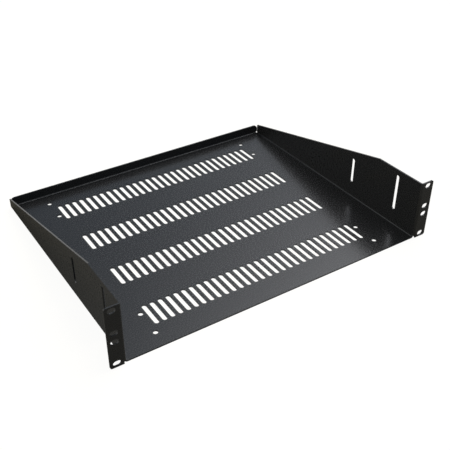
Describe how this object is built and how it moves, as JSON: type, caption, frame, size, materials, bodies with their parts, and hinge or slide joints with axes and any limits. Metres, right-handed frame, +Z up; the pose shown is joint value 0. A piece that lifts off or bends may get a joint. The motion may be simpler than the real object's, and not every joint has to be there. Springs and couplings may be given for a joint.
{
  "type": "vented rack shelf",
  "caption": "Folded sheet-metal rack shelf with a slotted base, low rear lip, sloping side walls and slotted ears that bolt to the front rails.",
  "frame": {"origin": "below the middle of the shelf, on the surface that the underside rests on", "axes": "+X to the right across the rack seen from its front, +Y from the front to the rear, +Z up"},
  "size_m": [0.4826, 0.381, 0.0878],
  "materials": {
    "black_powder_coat": "fine-textured semi-gloss black powder coat on steel sheet"
  },
  "bodies": {
    "root": {"shelf_tray": "black_powder_coat"}
  },
  "joints": []
}
